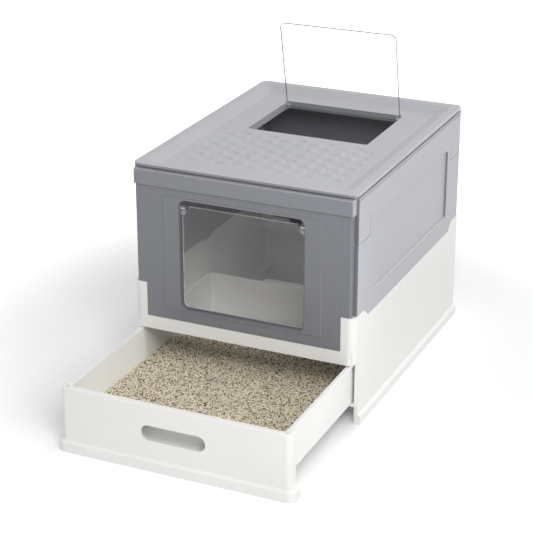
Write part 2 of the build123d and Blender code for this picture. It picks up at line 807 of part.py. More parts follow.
# Drawer front: a hollow fascia with a foot flange and a handle slot
with BuildPart() as drawer_front:
    with BuildSketch():
        with Locations((0, front_face - front_plinth_proud_face)):
            Rectangle(
                body_width + 2 * front_plinth_proud_side,
                front_depth + front_plinth_proud_face,
                align=(Align.CENTER, Align.MIN),
            )
        fillet(vertices().group_by(Axis.Y)[0], front_corner_radius + front_plinth_proud_face)
    extrude(amount=front_plinth_height)
    plinth_edges = drawer_front.faces().sort_by(Axis.Z)[-1].edges().sort_by(Axis.Y)[:-1]
    chamfer(plinth_edges, front_plinth_bevel)
    with BuildSketch():
        with Locations((0, front_face)):
            Rectangle(body_width, front_depth, align=(Align.CENTER, Align.MIN))
        fillet(vertices().group_by(Axis.Y)[0], front_corner_radius)
    extrude(amount=front_height)
    top_edges = drawer_front.faces().sort_by(Axis.Z)[-1].edges().sort_by(Axis.Y)[:-1]
    fillet(top_edges, front_round)
    with BuildSketch():
        with Locations((0, front_face + front_wall)):
            Rectangle(
                body_width - 2 * front_wall, front_depth, align=(Align.CENTER, Align.MIN)
            )
        fillet(vertices().group_by(Axis.Y)[0], front_corner_radius - front_wall)
    extrude(amount=front_height - front_wall, mode=Mode.SUBTRACT)
    # Room for the tray that stands inside the fascia
    with BuildSketch(Plane.XY.offset(tray_bottom - rest_gap)):
        with Locations((0, tray_front - tray_lip_proud - rest_gap)):
            Rectangle(
                2 * (tray_half + tray_lip_proud + rest_gap),
                front_depth,
                align=(Align.CENTER, Align.MIN),
            )
    extrude(amount=front_height, mode=Mode.SUBTRACT)
    with BuildSketch(Plane.XZ.offset(-front_face)):
        with Locations((0, handle_centre)):
            SlotOverall(handle_length, handle_height)
    extrude(amount=-2 * front_wall, mode=Mode.SUBTRACT)
drawer_front.part.label = "drawer_front"
export_step(drawer_front.part, "parts/drawer_front.step")

# Litter bed: the fill of loose grains as one closed solid
with BuildPart() as litter_bed:
    with BuildSketch(Plane.XY.offset(litter_base)):
        with Locations((0, tray_middle)):
            RectangleRounded(
                2 * (tray_half - tray_wall - litter_gap),
                drawer_length - 2 * (tray_wall + litter_gap),
                tray_corner_radius - tray_wall,
            )
        with Locations((0, tray_front)):
            Rectangle(
                2 * (pocket_half + tray_wall + litter_gap),
                2 * (pocket_depth + tray_wall + litter_gap),
                mode=Mode.SUBTRACT,
            )
        with Locations((0, tray_front + drawer_length)):
            Rectangle(body_width, 2 * litter_rear_gap, mode=Mode.SUBTRACT)
    extrude(amount=litter_depth)
    rear_edge = litter_bed.faces().sort_by(Axis.Z)[-1].edges().sort_by(Axis.Y)[-1]
    chamfer(rear_edge, litter_slope)
litter_bed.part.label = "litter_bed"
export_step(litter_bed.part, "parts/litter_bed.step")
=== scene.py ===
"""Dress the folding litter box: moulded shells, clear flaps, wire pins and a bed of clay grains.

Metres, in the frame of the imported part: +Z up, the front towards -Y, the origin on the floor
under the base.
"""

import json
import logging
import math
from dataclasses import dataclass, field
from enum import Enum

import bpy
import numpy as np
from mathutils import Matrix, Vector

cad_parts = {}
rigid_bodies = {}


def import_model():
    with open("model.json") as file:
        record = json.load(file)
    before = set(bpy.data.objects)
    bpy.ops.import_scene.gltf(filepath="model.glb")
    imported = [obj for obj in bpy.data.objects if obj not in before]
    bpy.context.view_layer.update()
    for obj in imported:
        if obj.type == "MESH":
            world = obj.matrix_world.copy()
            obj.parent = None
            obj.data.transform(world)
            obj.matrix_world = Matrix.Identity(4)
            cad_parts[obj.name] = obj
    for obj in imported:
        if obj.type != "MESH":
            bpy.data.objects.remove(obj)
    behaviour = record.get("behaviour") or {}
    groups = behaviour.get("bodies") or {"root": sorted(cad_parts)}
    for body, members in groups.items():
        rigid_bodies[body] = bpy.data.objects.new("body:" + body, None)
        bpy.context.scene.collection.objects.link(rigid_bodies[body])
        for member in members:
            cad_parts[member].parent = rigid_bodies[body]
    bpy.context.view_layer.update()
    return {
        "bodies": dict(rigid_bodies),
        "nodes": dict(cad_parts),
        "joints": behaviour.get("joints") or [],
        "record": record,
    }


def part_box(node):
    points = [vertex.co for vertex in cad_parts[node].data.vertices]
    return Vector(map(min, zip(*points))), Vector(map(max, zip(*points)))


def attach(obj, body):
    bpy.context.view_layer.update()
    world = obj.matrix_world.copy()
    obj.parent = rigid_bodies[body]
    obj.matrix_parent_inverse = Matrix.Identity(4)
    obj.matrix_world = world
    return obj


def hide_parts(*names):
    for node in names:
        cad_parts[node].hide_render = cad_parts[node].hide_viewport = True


LOG = logging.getLogger("litter_box")
MM = 0.001
WHITE = "#ffffff"


class Wall(Enum):
    """The four folding walls, by the side that they stand on."""

    FRONT = "front"
    REAR = "rear"
    LEFT = "left"
    RIGHT = "right"


def srgb(code: str) -> tuple[float, float, float, float]:
    """Turn an sRGB hex value into linear RGBA.

    Args:
        code: Six hex digits with a leading hash.

    Returns:
        Linear red, green, blue and an alpha of one.
    """
    parts = [int(code[i : i + 2], 16) / 255 for i in (1, 3, 5)]
    linear = [v / 12.92 if v <= 0.04045 else ((v + 0.055) / 1.055) ** 2.4 for v in parts]
    return (linear[0], linear[1], linear[2], 1.0)


def add_node(
    tree: bpy.types.NodeTree,
    kind: str,
    settings: dict[str, object] | None = None,
    values: dict[str | int, object] | None = None,
    links: dict[str | int, bpy.types.NodeSocket] | None = None,
) -> bpy.types.Node:
    """Add a shader node with its settings, socket values and incoming links.

    Args:
        tree: The node tree to add to.
        kind: Blender's type name of the node.
        settings: Attributes of the node.
        values: Default values by input name or number.
        links: Sockets to join to inputs, by input name or number.

    Returns:
        The new node.
    """
    node = tree.nodes.new(kind)
    for name, value in (settings or {}).items():
        setattr(node, name, value)
    for key, value in (values or {}).items():
        node.inputs[key].default_value = value
    for key, socket in (links or {}).items():
        tree.links.new(socket, node.inputs[key])
    return node


def background_ray(tree: bpy.types.NodeTree) -> bpy.types.NodeSocket:
    """Tell the rays that see the white background from those that carry light.

    Args:
        tree: The node tree of the floor or the world.

    Returns:
        A socket that is one for camera, mirror and see-through rays, and zero for the rest.
    """
    path = add_node(tree, "ShaderNodeLightPath")
    mirrored = add_node(
        tree,
        "ShaderNodeMath",
        settings={"operation": "MAXIMUM"},
        links={0: path.outputs["Is Glossy Ray"], 1: path.outputs["Is Transmission Ray"]},
    )
    seen = add_node(
        tree,
        "ShaderNodeMath",
        settings={"operation": "MAXIMUM"},
        links={0: path.outputs["Is Camera Ray"], 1: mirrored.outputs["Value"]},
    )
    return seen.outputs["Value"]


def new_material(name: str) -> tuple[bpy.types.Material, bpy.types.NodeTree, bpy.types.Node]:
    """Make an empty node material.

    Args:
        name: The material's name.

    Returns:
        The material, its node tree and its output node.
    """
    material = bpy.data.materials.new(name)
    material.use_nodes = True
    tree = material.node_tree
    tree.nodes.clear()
    return material, tree, tree.nodes.new("ShaderNodeOutputMaterial")


@dataclass(frozen=True)
class MouldedPolypropylene:
    """Injection-moulded polypropylene with a spark-eroded satin skin.

    The eye gets a soft broad sheen, a faint cloud of flow in the colour and a very fine grain.
    A real grain is about 0.1 mm wide; it is drawn at 1.1 mm so that the render shows it. Where
    an end shade is given, the faces that look to the front or rear are painted darker in it as
    shade, from the size of the normal's y part: none of it at end_from and all of it at
    end_full.
    """

    name: str
    colour: str
    shade: str
    # Painted shade: the darker colour that faces looking to the front or rear are painted in.
    painted_end_shade: str = ""
    end_from: float = 0.55
    end_full: float = 0.8
    ior: float = 1.49
    roughness: float = 0.46
    smoother: float = 0.04
    rougher: float = 0.05
    grain_mm: float = 1.1
    grain_deep_mm: float = 0.05
    grain_strength: float = 0.10
    flow_mm: float = 140.0

    def make(self) -> bpy.types.Material:
        """Build the material.

        Returns:
            The finished node material.
        """
        material, tree, output = new_material(self.name)
        where = add_node(tree, "ShaderNodeTexCoord")
        place = where.outputs["Object"]
        flow = add_node(
            tree,
            "ShaderNodeTexNoise",
            values={"Scale": 1 / (self.flow_mm * MM), "Detail": 3.0, "Roughness": 0.55},
            links={"Vector": place},
        )
        tint = add_node(
            tree,
            "ShaderNodeMix",
            settings={"data_type": "RGBA"},
            values={6: srgb(self.shade), 7: srgb(self.colour)},
            links={0: flow.outputs["Fac"]},
        )
        # Paint the faces that look to the front and rear darker, as shade.
        if self.painted_end_shade:
            tint = self.paint_end_shade(tree, where.outputs["Normal"], tint.outputs[2])
        grain = add_node(
            tree,
            "ShaderNodeTexNoise",
            values={"Scale": 1 / (self.grain_mm * MM), "Detail": 2.0},
            links={"Vector": place},
        )
        bump = add_node(
            tree,
            "ShaderNodeBump",
            values={"Strength": self.grain_strength, "Distance": self.grain_deep_mm * MM},
            links={"Height": grain.outputs["Fac"]},
        )
        sheen = add_node(
            tree,
            "ShaderNodeMapRange",
            values={
                "To Min": self.roughness - self.smoother,
                "To Max": self.roughness + self.rougher,
            },
            links={"Value": flow.outputs["Fac"]},
        )
        skin = add_node(
            tree,
            "ShaderNodeBsdfPrincipled",
            values={"IOR": self.ior, "Metallic": 0.0},
            links={
                "Base Color": tint.outputs[2],
                "Roughness": sheen.outputs["Result"],
                "Normal": bump.outputs["Normal"],
            },
        )
        tree.links.new(skin.outputs["BSDF"], output.inputs["Surface"])
        return material

    def paint_end_shade(
        self, tree: bpy.types.NodeTree, normal: bpy.types.NodeSocket, tint: bpy.types.NodeSocket
    ) -> bpy.types.Node:
        """Paint the faces that look to the front and rear darker in the end shade colour, as
        shade.

        Args:
            tree: The material's node tree.
            normal: The surface's own direction.
            tint: The colour of the other faces.

        Returns:
            A node with the joined colour at output 2.
        """
        parts = add_node(tree, "ShaderNodeSeparateXYZ", links={0: normal})
        facing = add_node(
            tree,
            "ShaderNodeMath",
            settings={"operation": "ABSOLUTE"},
            links={0: parts.outputs["Y"]},
        )
        ends = add_node(
            tree,
            "ShaderNodeMapRange",
            values={"From Min": self.end_from, "From Max": self.end_full},
            links={"Value": facing.outputs["Value"]},
        )
        return add_node(
            tree,
            "ShaderNodeMix",
            settings={"data_type": "RGBA"},
            values={7: srgb(self.painted_end_shade)},
            links={0: ends.outputs["Result"], 6: tint},
        )


@dataclass(frozen=True)
class ClearAcrylicSheet:
    """Clear cast acrylic, polished on its faces and sawn on its edges.

    The eye sees straight through the faces, with a weak mirror of the room, and a line along
    the sawn edge and its polished bevel, painted in the edge colour: a painted highlight on the
    front flap and painted shade on the top flap. A real bevel is about 0.5 mm wide; it is drawn
    at 1.4 mm so that the render shows it. The normal's share along facing tells the edge (below
    on_edge) from the faces (above on_face).
    """

    name: str
    facing: tuple[float, float, float]
    middle: tuple[float, float, float]
    half: tuple[float, float]
    edge: str
    bevel_cover: float
    corner: float = 10.0 * MM
    bevel: float = 1.4 * MM
    bevel_full: float = 0.6
    on_edge: float = 0.4
    on_face: float = 0.9
    tint: str = "#e9eef0"
    face_cover: float = 0.035
    edge_cover: float = 0.95
    ior: float = 1.49
    roughness: float = 0.05

    def make(self) -> bpy.types.Material:
        """Build the material.

        Returns:
            The finished node material.
        """
        material, tree, output = new_material(self.name)
        normal = add_node(tree, "ShaderNodeTexCoord").outputs["Normal"]
        along = add_node(
            tree,
            "ShaderNodeVectorMath",
            settings={"operation": "DOT_PRODUCT"},
            values={1: self.facing},
            links={0: normal},
        )
        flat = add_node(
            tree,
            "ShaderNodeMath",
            settings={"operation": "ABSOLUTE"},
            links={0: along.outputs["Value"]},
        )
        cover = add_node(
            tree,
            "ShaderNodeMapRange",
            values={
                "From Min": self.on_edge,
                "From Max": self.on_face,
                "To Min": self.edge_cover,
                "To Max": self.face_cover,
            },
            links={"Value": flat.outputs["Value"]},
        )
        rim = self.rim(tree)
        clear = add_node(
            tree,
            "ShaderNodeMath",
            settings={"operation": "SUBTRACT"},
            links={0: flat.outputs["Value"], 1: rim.outputs["Result"]},
        )
        # The edge colour is painted light on the sawn edge and bevel: a highlight on the front
        # flap, shade on the top flap.
        tint = add_node(
            tree,
            "ShaderNodeMix",
            settings={"data_type": "RGBA"},
            values={6: srgb(self.edge), 7: srgb(self.tint)},
            links={0: clear.outputs["Value"]},
        )
        bevelled = add_node(
            tree,
            "ShaderNodeMath",
            settings={"operation": "MULTIPLY"},
            values={1: self.bevel_cover},
            links={0: rim.outputs["Result"]},
        )
        alpha = add_node(
            tree,
            "ShaderNodeMath",
            settings={"operation": "MAXIMUM"},
            links={0: cover.outputs["Result"], 1: bevelled.outputs["Value"]},
        )
        sheet = add_node(
            tree,
            "ShaderNodeBsdfPrincipled",
            values={"IOR": self.ior, "Roughness": self.roughness},
            links={"Base Color": tint.outputs[2], "Alpha": alpha.outputs["Value"]},
        )
        tree.links.new(sheet.outputs["BSDF"], output.inputs["Surface"])
        return material

    def rim(self, tree: bpy.types.NodeTree) -> bpy.types.Node:
        """Find the bevel along the sheet's rounded outline.

        Args:
            tree: The material's node tree.

        Returns:
            A node whose result is one on the bevel and zero on the rest of the face.
        """
        place = add_node(tree, "ShaderNodeTexCoord").outputs["Object"]
        from_middle = add_node(
            tree,
            "ShaderNodeVectorMath",
            settings={"operation": "SUBTRACT"},
            values={1: self.middle},
            links={0: place},
        )
        spans = []
        for axis in ((1.0, 0.0, 0.0), (0.0, -self.facing[2], self.facing[1])):
            span = add_node(
                tree,
                "ShaderNodeVectorMath",
                settings={"operation": "DOT_PRODUCT"},
                values={1: axis},
                links={0: from_middle.outputs["Vector"]},
            )
            spans.append(span.outputs["Value"])
        flat_place = add_node(tree, "ShaderNodeCombineXYZ", links={"X": spans[0], "Y": spans[1]})
        quarter = add_node(
            tree,
            "ShaderNodeVectorMath",
            settings={"operation": "ABSOLUTE"},
            links={0: flat_place.outputs["Vector"]},
        )
        past_corner = add_node(
            tree,
            "ShaderNodeVectorMath",
            settings={"operation": "SUBTRACT"},
            values={1: (self.half[0] - self.corner, self.half[1] - self.corner, 0.0)},
            links={0: quarter.outputs["Vector"]},
        )
        outer = add_node(
            tree,
            "ShaderNodeVectorMath",
            settings={"operation": "MAXIMUM"},
            values={1: (0.0, 0.0, 0.0)},
            links={0: past_corner.outputs["Vector"]},
        )
        reach = add_node(
            tree,
            "ShaderNodeVectorMath",
            settings={"operation": "LENGTH"},
            links={0: outer.outputs["Vector"]},
        )
        return add_node(
            tree,
            "ShaderNodeMapRange",
            values={
                "From Min": self.corner - self.bevel,
                "From Max": self.corner - self.bevel_full * self.bevel,
            },
            links={"Value": reach.outputs["Value"]},
        )


@dataclass(frozen=True)
class ClearMouldedClip:
    """Clear moulded polycarbonate, a little cloudy where it was gated.

    The eye gets a faint pale block, glossy, that the wall behind still shows through.
    """

    name: str
    colour: str = "#dfe3e5"
    cover: float = 0.13
    cloud: float = 0.1
    cloud_mm: float = 5.0
    ior: float = 1.58
    roughness: float = 0.12

    def make(self) -> bpy.types.Material:
        """Build the material.

        Returns:
            The finished node material.
        """
        material, tree, output = new_material(self.name)
        place = add_node(tree, "ShaderNodeTexCoord").outputs["Object"]
        cloud = add_node(
            tree,
            "ShaderNodeTexNoise",
            values={"Scale": 1 / (self.cloud_mm * MM), "Detail": 2.0},
            links={"Vector": place},
        )
        cover = add_node(
            tree,
            "ShaderNodeMapRange",
            values={"To Min": self.cover - self.cloud, "To Max": self.cover + self.cloud},
            links={"Value": cloud.outputs["Fac"]},
        )
        skin = add_node(
            tree,
            "ShaderNodeBsdfPrincipled",
            values={
                "Base Color": srgb(self.colour),
                "IOR": self.ior,
                "Roughness": self.roughness,
            },
            links={"Alpha": cover.outputs["Result"]},
        )
        tree.links.new(skin.outputs["BSDF"], output.inputs["Surface"])
        return material


@dataclass(frozen=True)
class DrawnSteelWire:
    """Bright drawn steel wire, cut to pins.

    The eye gets a soft metal gleam, finely uneven. Real marks of drawing are about 0.05 mm
    wide; they are drawn at 0.35 mm so that the render shows them.
    """

    name: str
    colour: str = "#b9bbbd"
    roughness: float = 0.32
    smoother: float = 0.08
    rougher: float = 0.1
    mark_mm: float = 0.35

    def make(self) -> bpy.types.Material:
        """Build the material.

        Returns:
            The finished node material.
        """
        material, tree, output = new_material(self.name)
        place = add_node(tree, "ShaderNodeTexCoord").outputs["Object"]
        marks = add_node(
            tree,
            "ShaderNodeTexNoise",
            values={"Scale": 1 / (self.mark_mm * MM), "Detail": 2.0},
            links={"Vector": place},
        )
        rough = add_node(
            tree,
            "ShaderNodeMapRange",
            values={
                "To Min": self.roughness - self.smoother,
                "To Max": self.roughness + self.rougher,
            },
            links={"Value": marks.outputs["Fac"]},
        )
        wire = add_node(
            tree,
            "ShaderNodeBsdfPrincipled",
            values={"Base Color": srgb(self.colour), "Metallic": 1.0},
            links={"Roughness": rough.outputs["Result"]},
        )
        tree.links.new(wire.outputs["BSDF"], output.inputs["Surface"])
        return material


@dataclass(frozen=True)
class BentoniteGrains:
    """Crushed and sieved bentonite clay, dry.

    The eye gets dull beige grains, each a little lighter or browner than the next, with painted
    shade darkening the gaps between them. The three places say which share of the grains has
    each colour. The painted gap shade begins at gap_from and is full at gap_full, as distances
    from a grain's middle in grain widths.
    """

    name: str
    pale: str = "#fff5df"
    mid: str = "#f0dcb4"
    dark: str = "#46341f"
    dark_place: float = 0.14
    mid_place: float = 0.28
    pale_place: float = 0.50
    grain_mm: float = 1.9
    grain_high_mm: float = 0.8
    grain_strength: float = 0.7
    gap_from: float = 0.42
    gap_full: float = 0.66
    gap_shade_level: float = 0.5
    ior: float = 1.45
    roughness: float = 0.95

    def make(self) -> bpy.types.Material:
        """Build the material.

        Returns:
            The finished node material.
        """
        material, tree, output = new_material(self.name)
        place = add_node(tree, "ShaderNodeTexCoord").outputs["Object"]
        cells = add_node(
            tree,
            "ShaderNodeTexVoronoi",
            settings={"feature": "F1"},
            values={"Scale": 1 / (self.grain_mm * MM)},
            links={"Vector": place},
        )
        draw = add_node(tree, "ShaderNodeSeparateColor", links={0: cells.outputs["Color"]})
        each = add_node(tree, "ShaderNodeValToRGB", links={"Fac": draw.outputs[0]})
        ramp = each.color_ramp
        ramp.elements[0].color = srgb(self.dark)
        ramp.elements[0].position = self.dark_place
        ramp.elements[1].color = srgb(self.pale)
        ramp.elements[1].position = self.pale_place
        ramp.elements.new(self.mid_place).color = srgb(self.mid)
        # Painted shade: each grain's colour darkens towards the gaps between grains, where shade
        # falls.
        gaps = add_node(
            tree,
            "ShaderNodeMapRange",
            values={
                "From Min": self.gap_from,
                "From Max": self.gap_full,
                "To Min": 1.0,
                "To Max": self.gap_shade_level,
            },
            links={"Value": cells.outputs["Distance"]},
        )
        shaded = add_node(
            tree,
            "ShaderNodeMix",
            settings={"data_type": "RGBA", "blend_type": "MULTIPLY"},
            values={0: 1.0},
            links={6: each.outputs["Color"], 7: gaps.outputs["Result"]},
        )
        bump = add_node(
            tree,
            "ShaderNodeBump",
            settings={"invert": True},
            values={"Strength": self.grain_strength, "Distance": self.grain_high_mm * MM},
            links={"Height": cells.outputs["Distance"]},
        )
        clay = add_node(
            tree,
            "ShaderNodeBsdfPrincipled",
            values={"Roughness": self.roughness, "IOR": self.ior},
            links={"Base Color": shaded.outputs[2], "Normal": bump.outputs["Normal"]},
        )
        tree.links.new(clay.outputs["BSDF"], output.inputs["Surface"])
        return material


@dataclass(frozen=True)
class PaperSweep:
    """Matt white background paper, swept flat under the object.

    The eye gets an even white ground with only the object's own soft shadow on it. A weak glow,
    seen by camera, mirror and see-through rays alone, grows from near_lift to lift between
    near_m and far_m from the origin, so that the ground runs out to white. Real fibres are
    about 1 mm long; they are drawn at 4 mm.
    """

    name: str
    colour: str = "#f6f6f6"
    fibre_mm: float = 4.0
    fibre_high_mm: float = 0.1
    fibre_strength: float = 0.05
    near_m: float = 0.40
    near_lift: float = 0.09
    far_m: float = 0.92
    lift: float = 0.62

    def make(self) -> bpy.types.Material:
        """Build the material.

        Returns:
            The finished node material.
        """
        material, tree, output = new_material(self.name)
        place = add_node(tree, "ShaderNodeTexCoord").outputs["Object"]
        fibre = add_node(
            tree,
            "ShaderNodeTexNoise",
            values={"Scale": 1 / (self.fibre_mm * MM)},
            links={"Vector": place},
        )
        bump = add_node(
            tree,
            "ShaderNodeBump",
            values={"Strength": self.fibre_strength, "Distance": self.fibre_high_mm * MM},
            links={"Height": fibre.outputs["Fac"]},
        )
        away = add_node(
            tree,
            "ShaderNodeVectorMath",
            settings={"operation": "LENGTH"},
            links={0: place},
        )
        rise = add_node(
            tree,
            "ShaderNodeMapRange",
            settings={"interpolation_type": "SMOOTHSTEP"},
            values={
                "From Min": self.near_m,
                "From Max": self.far_m,
                "To Min": self.near_lift,
                "To Max": self.lift,
            },
            links={"Value": away.outputs["Value"]},
        )
        glow = add_node(
            tree,
            "ShaderNodeMath",
            settings={"operation": "MULTIPLY"},
            links={0: background_ray(tree), 1: rise.outputs["Result"]},
        )
        paper = add_node(
            tree,
            "ShaderNodeBsdfPrincipled",
            values={
                "Base Color": srgb(self.colour),
                "Roughness": 1.0,
                "Specular IOR Level": 0.0,
                "Emission Color": srgb(WHITE),
            },
            links={"Emission Strength": glow.outputs["Value"], "Normal": bump.outputs["Normal"]},
        )
        tree.links.new(paper.outputs["BSDF"], output.inputs["Surface"])
        return material


def dress(frame: dict, node: str, material: bpy.types.Material) -> bpy.types.Object:
    """Give a CAD node its finish.

    Args:
        node: The node's name.
        material: The finish.

    Returns:
        The node's object.
    """
    piece = frame["nodes"][node]
    piece.data.materials.clear()
    piece.data.materials.append(material)
    LOG.info("dressed %s as %s", node, material.name)
    return piece


def mesh_object(name: str, points: np.ndarray, faces: list[tuple[int, ...]]) -> bpy.types.Object:
    """Make a mesh object from points and faces.

    Args:
        name: The object's name.
        points: Corner points in metres, one row each.
        faces: Corner numbers of each face.

    Returns:
        The linked object.
    """
    mesh = bpy.data.meshes.new(name)
    mesh.from_pydata([tuple(map(float, p)) for p in points], [], faces)
    mesh.validate()
    mesh.update()
    piece = bpy.data.objects.new(name, mesh)
    bpy.context.scene.collection.objects.link(piece)
    return piece


@dataclass
class BaseAssembly:
    """The white base moulding and the steel pins that the walls turn on."""

    shell: MouldedPolypropylene = MouldedPolypropylene(
        "white_moulded_polypropylene", "#f3f3f1", "#ebebe8"
    )
    pin: DrawnSteelWire = DrawnSteelWire("drawn_steel_wire")

    def build(self, frame: dict) -> None:
        """Dress the base and its pins.
        """
        dress(frame, "base_frame", self.shell.make())
        wire = self.pin.make()
        for wall in Wall:
            dress(frame, f"{wall.value}_hinge_pins", wire)


@dataclass
class FoldingWalls:
    """The four grey walls, the push latches at their corners and the lips in the corner gaps.

    A lip stands lip_proud out of the end wall's end face, is rooted lip_root inside it and has
    small chamfers (lip_lead, lip_heel). It runs from lip_inside within the side wall's end to
    lip_overlap past it, and stays lip_clear of the base and the lid.
    """

    lip_proud: float = 0.3 * MM
    lip_root: float = 0.8 * MM
    lip_lead: float = 0.15 * MM
    lip_heel: float = 0.8 * MM
    lip_inside: float = 1.5 * MM
    lip_overlap: float = 5.5 * MM
    lip_clear: float = 3.0 * MM
    end_shell: MouldedPolypropylene = MouldedPolypropylene(
        "grey_moulded_polypropylene_ends", "#808288", "#787a80"
    )
    # The side walls' faces that look to the front or rear, such as the steps of the recess, are
    # painted a darker grey as shade.
    side_shell: MouldedPolypropylene = MouldedPolypropylene(
        "grey_moulded_polypropylene_sides", "#bbbcc2", "#b3b4ba", painted_end_shade="#77797f"
    )

    def build(self, frame: dict) -> None:
        """Dress the walls and latches, and add the corner lips.
        """
        ends, sides = self.end_shell.make(), self.side_shell.make()
        for wall in (Wall.FRONT, Wall.REAR):
            dress(frame, f"{wall.value}_panel", ends)
        for wall in (Wall.LEFT, Wall.RIGHT):
            dress(frame, f"{wall.value}_panel", sides)
            for end in (Wall.FRONT, Wall.REAR):
                dress(frame, f"{wall.value}_{end.value}_latch", sides)
        for wall in (Wall.FRONT, Wall.REAR):
            lips = self.corner_lips(wall)
            lips.data.materials.append(ends)
            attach(lips, f"{wall.value}_wall")
            LOG.info("built %s", lips.name)

    def corner_lips(self, wall: Wall) -> bpy.types.Object:
        """Make the two thin upright lips at the ends of an end wall.

        Args:
            wall: The front or the rear wall.

        Returns:
            Both lips as one object.
        """
        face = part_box(f"{wall.value}_panel")[1].x
        side_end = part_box("left_panel")[1].y
        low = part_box("base_frame")[1].z + self.lip_clear
        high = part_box("lid")[0].z - self.lip_clear
        tip, heel = side_end - self.lip_inside, side_end + self.lip_overlap
        lead = face + self.lip_lead
        proud = face + self.lip_proud
        profile = [(face - self.lip_root, tip), (lead, tip), (proud, tip + self.lip_lead)]
        profile += [(proud, heel - self.lip_heel), (lead, heel), (face - self.lip_root, heel)]
        outward = -1 if wall is Wall.FRONT else 1
        count = len(profile)
        points: list[tuple[float, float, float]] = []
        faces: list[tuple[int, ...]] = []
        for side in (-1, 1):
            ring = profile if side * outward > 0 else profile[::-1]
            start = len(points)
            points += [(side * x, outward * y, z) for z in (low, high) for x, y in ring]
            faces.append(tuple(start + i for i in reversed(range(count))))
            faces.append(tuple(start + count + i for i in range(count)))
            for i in range(count):
                j = (i + 1) % count
                faces.append((start + i, start + j, start + count + j, start + count + i))
        return mesh_object(f"{wall.value}_corner_lips", np.array(points), faces)


@dataclass
class LidAssembly:
    """The grey lid."""

    # The lid's faces that look to the front or rear, its front and rear bands among them, are
    # painted a darker grey as shade.
    shell: MouldedPolypropylene = MouldedPolypropylene(
        "grey_moulded_polypropylene_lid", "#b9babf", "#b1b2b8", painted_end_shade="#86888e"
    )

    def build(self, frame: dict) -> None:
        """Dress the lid.
        """
        dress(frame, "lid", self.shell.make())


@dataclass
class ClearFlap:
    """A clear flap with its pin clips and pins, and how far it leans back at rest."""

    node: str
    lean_deg: float
    # The colour of the painted edge line: a painted highlight when pale, painted shade when
    # dark.
    edge: str
    bevel_cover: float

    def build(self, frame: dict, clip: bpy.types.Material, wire: bpy.types.Material) -> None:
        """Dress the flap, its clips and its pins.

        Args:
            clip: The clips' finish.
            wire: The pins' finish.
        """
        lean = math.radians(self.lean_deg)
        low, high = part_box(self.node)
        sheet = ClearAcrylicSheet(
            f"clear_cast_acrylic_{self.node}",
            facing=(0.0, math.cos(lean), math.sin(lean)),
            middle=tuple((low + high) / 2),
            half=((high.x - low.x) / 2, (high.z - low.z) / 2 / math.cos(lean)),
            edge=self.edge,
            bevel_cover=self.bevel_cover,
        )
        dress(frame, self.node, sheet.make())
        dress(frame, f"{self.node}_clips", clip)
        dress(frame, f"{self.node}_pins", wire)


# The icosahedron that every grain is a bent copy of
GOLDEN = (1 + 5**0.5) / 2
GRAIN_POINTS = (
    *((-1, GOLDEN, 0), (1, GOLDEN, 0), (-1, -GOLDEN, 0), (1, -GOLDEN, 0)),
    *((0, -1, GOLDEN), (0, 1, GOLDEN), (0, -1, -GOLDEN), (0, 1, -GOLDEN)),
    *((GOLDEN, 0, -1), (GOLDEN, 0, 1), (-GOLDEN, 0, -1), (-GOLDEN, 0, 1)),
)
GRAIN_SIDES = (
    *((0, 11, 5), (0, 5, 1), (0, 1, 7), (0, 7, 10), (0, 10, 11)),
    *((1, 5, 9), (5, 11, 4), (11, 10, 2), (10, 7, 6), (7, 1, 8)),
    *((3, 9, 4), (3, 4, 2), (3, 2, 6), (3, 6, 8), (3, 8, 9)),
    *((4, 9, 5), (2, 4, 11), (6, 2, 10), (8, 6, 7), (9, 8, 1)),
)


